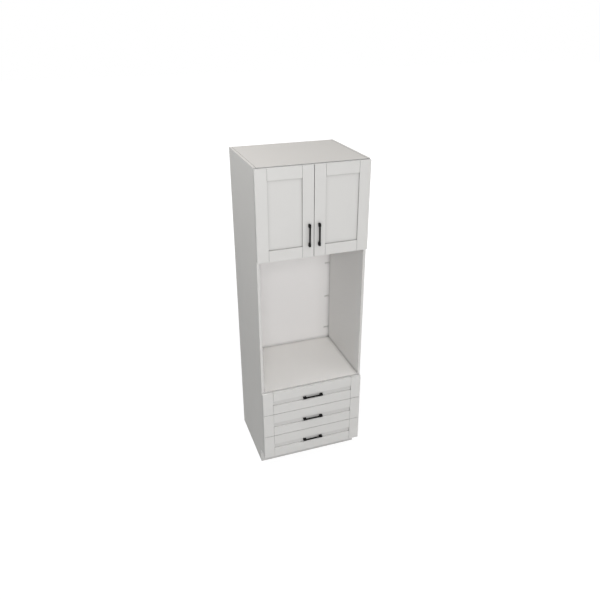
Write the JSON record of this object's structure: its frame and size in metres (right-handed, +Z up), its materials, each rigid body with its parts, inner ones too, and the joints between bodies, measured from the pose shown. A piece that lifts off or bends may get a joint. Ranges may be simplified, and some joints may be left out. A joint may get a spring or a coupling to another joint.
{
  "type": "tall oven housing unit",
  "caption": "Tall kitchen unit that houses a built-in oven: framed cupboard doors above an open niche, framed drawers below, slim black bar handles.",
  "frame": {"origin": "middle of the unit's box, handles included, at floor level", "axes": "+X to the unit's right as seen from the front, +Y towards the wall, +Z up"},
  "size_m": [0.762, 0.67, 2.304],
  "materials": {
    "front_paint": "satin painted, smooth, warm white",
    "carcass_facing": "matt melamine facing, warm white",
    "drawer_facing": "matt melamine facing, white",
    "handle_black": "satin black powder coat",
    "hinge_steel": "nickel plated",
    "runner_steel": "light grey epoxy coat"
  },
  "bodies": {
    "carcass": {"side_panel_left": "carcass_facing", "side_panel_right": "carcass_facing", "top_panel": "carcass_facing", "cupboard_shelf": "carcass_facing", "cupboard_base": "carcass_facing", "oven_deck": "carcass_facing", "bottom_panel": "carcass_facing", "back_panel": "carcass_facing", "wall_rail_top": "carcass_facing", "wall_rail_middle": "carcass_facing", "toe_kick_board": "front_paint", "left_hinge_arm_lower": "hinge_steel", "left_hinge_arm_upper": "hinge_steel", "right_hinge_arm_lower": "hinge_steel", "right_hinge_arm_upper": "hinge_steel", "bottom_drawer_runner_left": "runner_steel", "bottom_drawer_runner_right": "runner_steel", "middle_drawer_runner_left": "runner_steel", "middle_drawer_runner_right": "runner_steel", "top_drawer_runner_left": "runner_steel", "top_drawer_runner_right": "runner_steel"},
    "left_door": {"left_door_stile_outer": "front_paint", "left_door_stile_inner": "front_paint", "left_door_rail_top": "front_paint", "left_door_rail_bottom": "front_paint", "left_door_panel": "front_paint", "left_door_hinge_cup_lower": "hinge_steel", "left_door_hinge_cup_upper": "hinge_steel", "left_door_handle": "handle_black"},
    "right_door": {"right_door_stile_outer": "front_paint", "right_door_stile_inner": "front_paint", "right_door_rail_top": "front_paint", "right_door_rail_bottom": "front_paint", "right_door_panel": "front_paint", "right_door_hinge_cup_lower": "hinge_steel", "right_door_hinge_cup_upper": "hinge_steel", "right_door_handle": "handle_black"},
    "top_drawer": {"top_drawer_front_frame": "front_paint", "top_drawer_front_panel": "front_paint", "top_drawer_side_left": "runner_steel", "top_drawer_side_right": "runner_steel", "top_drawer_base": "drawer_facing", "top_drawer_back": "drawer_facing", "top_drawer_handle": "handle_black"},
    "middle_drawer": {"middle_drawer_front_frame": "front_paint", "middle_drawer_front_panel": "front_paint", "middle_drawer_side_left": "runner_steel", "middle_drawer_side_right": "runner_steel", "middle_drawer_base": "drawer_facing", "middle_drawer_back": "drawer_facing", "middle_drawer_handle": "handle_black"},
    "bottom_drawer": {"bottom_drawer_front_frame": "front_paint", "bottom_drawer_front_panel": "front_paint", "bottom_drawer_side_left": "runner_steel", "bottom_drawer_side_right": "runner_steel", "bottom_drawer_base": "drawer_facing", "bottom_drawer_back": "drawer_facing", "bottom_drawer_handle": "handle_black"}
  },
  "joints": [
    {"name": "left_door_swing", "type": "hinge", "parent": "carcass", "child": "left_door", "pos_m": [-0.37375, -0.306, 1.998], "axis": [0, 0, -1], "range_deg": [0, 110]},
    {"name": "right_door_swing", "type": "hinge", "parent": "carcass", "child": "right_door", "pos_m": [0.37375, -0.306, 1.998], "axis": [0, 0, 1], "range_deg": [0, 110]},
    {"name": "top_drawer_slide", "type": "slide", "parent": "carcass", "child": "top_drawer", "axis": [0, -1, 0], "range_m": [0, 0.375]},
    {"name": "middle_drawer_slide", "type": "slide", "parent": "carcass", "child": "middle_drawer", "axis": [0, -1, 0], "range_m": [0, 0.375]},
    {"name": "bottom_drawer_slide", "type": "slide", "parent": "carcass", "child": "bottom_drawer", "axis": [0, -1, 0], "range_m": [0, 0.375]}
  ]
}
